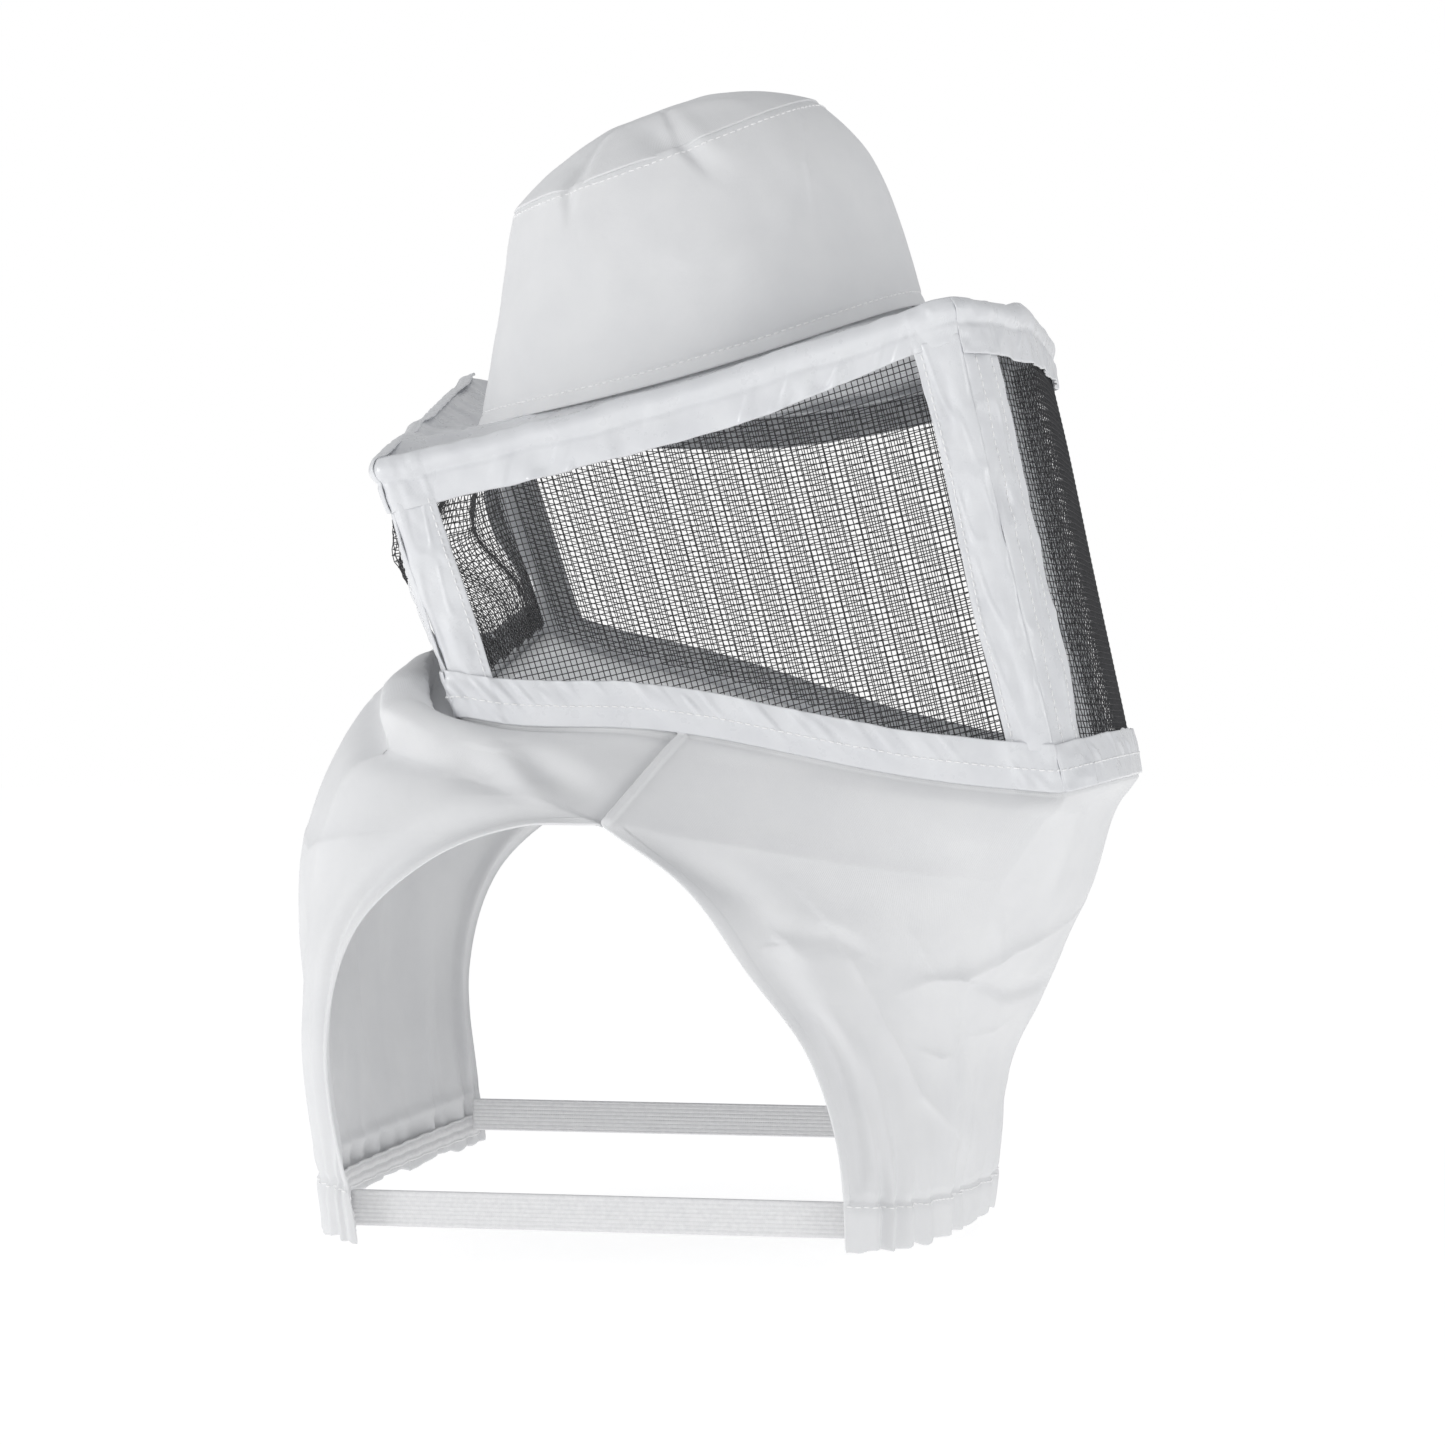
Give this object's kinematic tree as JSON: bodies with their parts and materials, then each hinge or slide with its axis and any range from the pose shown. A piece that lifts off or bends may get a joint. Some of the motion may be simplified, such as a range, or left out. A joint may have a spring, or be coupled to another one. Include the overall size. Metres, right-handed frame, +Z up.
{
  "type": "beekeeping veil hood",
  "caption": "Beekeeper's hood: soft cotton hat with a square black mesh veil bound in white tape, above a cotton bib with front and back panels joined by side elastics.",
  "frame": {"origin": "centre of the hat's head opening, where the head holds it", "axes": "+Z up as worn, -Y the way the wearer faces, +X to the wearer's left; the hat leans back 15 degrees about X"},
  "size_m": [0.3568, 0.375, 0.5167],
  "materials": {
    "cotton": "matt plain-woven white cotton",
    "coated_cloth": "shiny coated white cloth tape",
    "netting": "black square-mesh netting",
    "elastic": "ribbed white woven elastic",
    "boning": "matt white plastic-coated wire"
  },
  "bodies": {
    "hood": {"crown_side_left": "cotton", "crown_side_right": "cotton", "sweatband": "cotton", "brim": "coated_cloth", "brim_wire": "boning", "top_tape_right": "coated_cloth", "top_tape_front": "coated_cloth", "top_tape_left": "coated_cloth", "top_tape_back": "coated_cloth", "bottom_tape_right": "coated_cloth", "bottom_tape_front": "coated_cloth", "bottom_tape_left": "coated_cloth", "bottom_tape_back": "coated_cloth", "corner_tape_right_by_back": "coated_cloth", "corner_tape_right_by_front": "coated_cloth", "corner_tape_front_by_right": "coated_cloth", "corner_tape_front_by_left": "coated_cloth", "corner_tape_left_by_back": "coated_cloth", "corner_tape_left_by_front": "coated_cloth", "corner_tape_back_by_right": "coated_cloth", "corner_tape_back_by_left": "coated_cloth", "mesh_right": "netting", "mesh_front": "netting", "mesh_left": "netting", "mesh_back": "netting", "bib_front": "cotton", "bib_back": "cotton"},
    "crown_top": {"crown_tip": "cotton"},
    "front_drape": {"front_panel": "cotton", "hem_elastic_front": "elastic"},
    "back_drape": {"back_panel": "cotton", "hem_elastic_back": "elastic"},
    "elastic_right": {"side_elastic_right": "elastic"},
    "elastic_end_right": {"elastic_tab_right": "elastic"},
    "elastic_left": {"side_elastic_left": "elastic"},
    "elastic_end_left": {"elastic_tab_left": "elastic"}
  },
  "joints": [
    {"name": "crown_press", "type": "slide", "parent": "hood", "child": "crown_top", "axis": [0, -0.2588, -0.9659], "range_m": [0, 0.055]},
    {"name": "front_panel_lift", "type": "hinge", "parent": "hood", "child": "front_drape", "pos_m": [0, -0.13, -0.27], "axis": [-1, 0, 0], "range_deg": [0, 20], "stiffness_Nm_per_rad": 0.5, "springref_deg": -22.92},
    {"name": "back_panel_lift", "type": "hinge", "parent": "hood", "child": "back_drape", "pos_m": [0, 0.15, -0.235], "axis": [1, 0, 0], "range_deg": [0, 13.5]},
    {"name": "elastic_swing_right", "type": "hinge", "parent": "front_drape", "child": "elastic_right", "pos_m": [-0.146, -0.087, -0.379], "axis": [1, 0, 0], "range_deg": [0, 22.5]},
    {"name": "elastic_stretch_right", "type": "slide", "parent": "elastic_right", "child": "elastic_end_right", "axis": [0, 1, 0], "range_m": [0, 0.08]},
    {"name": "elastic_swing_left", "type": "hinge", "parent": "front_drape", "child": "elastic_left", "pos_m": [0.146, -0.084, -0.366], "axis": [1, 0, 0], "range_deg": [0, 22.5]},
    {"name": "elastic_stretch_left", "type": "slide", "parent": "elastic_left", "child": "elastic_end_left", "axis": [0, 1, 0], "range_m": [0, 0.08]}
  ],
  "couplings": [
    {"joint": "back_panel_lift", "follows": "front_panel_lift", "ratio": 0.59},
    {"joint": "elastic_swing_right", "follows": "front_panel_lift", "ratio": 1},
    {"joint": "elastic_swing_left", "follows": "front_panel_lift", "ratio": 1},
    {"joint": "elastic_stretch_right", "follows": "front_panel_lift", "m_per_rad": 0.185},
    {"joint": "elastic_stretch_left", "follows": "front_panel_lift", "m_per_rad": 0.185}
  ]
}
